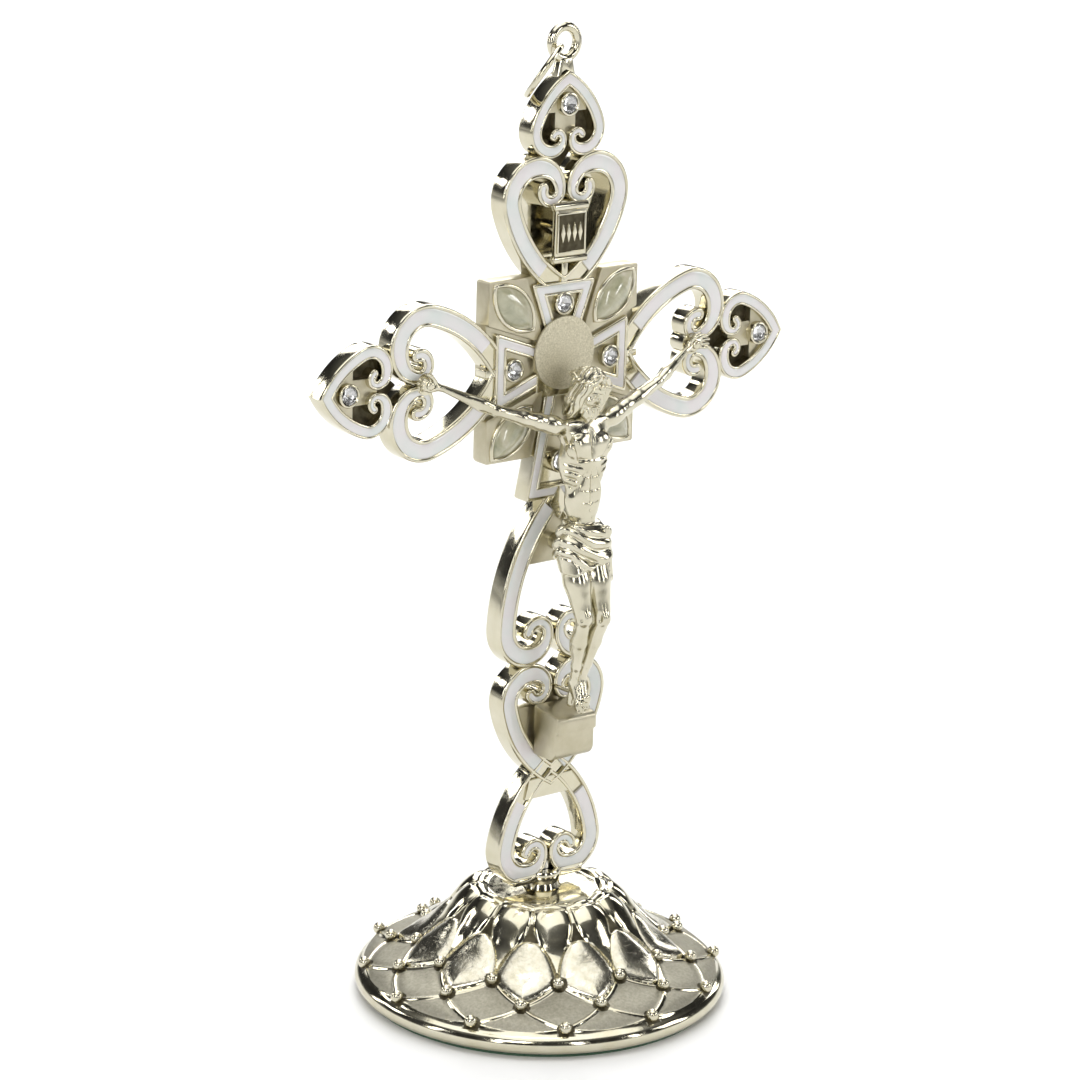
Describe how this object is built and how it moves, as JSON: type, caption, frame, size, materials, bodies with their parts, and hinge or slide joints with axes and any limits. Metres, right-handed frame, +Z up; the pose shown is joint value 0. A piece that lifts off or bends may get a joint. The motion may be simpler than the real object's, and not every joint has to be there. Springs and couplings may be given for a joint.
{
  "type": "altar cross",
  "caption": "Standing openwork cross of enamelled hearts with a figure, set stones and a swinging hanging ring, screwed to a hollow bell-shaped base with a felt pad.",
  "frame": {"origin": "on the ground, on the axis of the round base", "axes": "+Z up the shaft, +X along the arms to the viewer's right, the front with the figure faces -Y"},
  "size_m": [0.0958, 0.0634, 0.1655],
  "materials": {
    "polished_plate": "polished pale champagne plating",
    "sandblasted_gold": "sandblasted pale gold plating",
    "white_enamel": "glossy, faintly pearly",
    "clear_stone": "clear, faceted",
    "pearl": "pearly greenish cream",
    "steel": "zinc plated",
    "felt": "matt felt"
  },
  "bodies": {
    "stand": {"base_dome": "polished_plate", "felt_ring": "felt", "base_screw": "steel", "screw_washer": "steel", "cross_frame": "polished_plate", "title_backing": "polished_plate", "title_plaque": "polished_plate", "halo_disc": "sandblasted_gold", "foot_rest": "polished_plate", "corpus": "polished_plate", "crown_of_thorns": "polished_plate", "left_hand_nail": "polished_plate", "right_hand_nail": "polished_plate", "feet_nail": "polished_plate", "top_stone": "clear_stone", "left_stone": "clear_stone", "right_stone": "clear_stone", "centre_top_stone": "clear_stone", "centre_left_stone": "clear_stone", "centre_right_stone": "clear_stone", "centre_bottom_stone": "clear_stone", "pearl_top_left": "pearl", "pearl_top_right": "pearl", "pearl_bottom_left": "pearl", "pearl_bottom_right": "pearl", "enamel_top_large": "white_enamel", "enamel_left_large": "white_enamel", "enamel_right_large": "white_enamel", "enamel_top_small": "white_enamel", "enamel_left_small": "white_enamel", "enamel_right_small": "white_enamel", "enamel_drop": "white_enamel", "enamel_middle": "white_enamel", "enamel_foot": "white_enamel", "enamel_centre_top": "white_enamel", "enamel_centre_left": "white_enamel", "enamel_centre_right": "white_enamel", "enamel_centre_bottom": "white_enamel"},
    "hang_ring": {"jump_ring": "polished_plate"}
  },
  "joints": [
    {"name": "ring_swing", "type": "hinge", "parent": "stand", "child": "hang_ring", "pos_m": [0, 0, 0.1622], "axis": [0, 1, 0], "range_deg": [0, 272]}
  ]
}
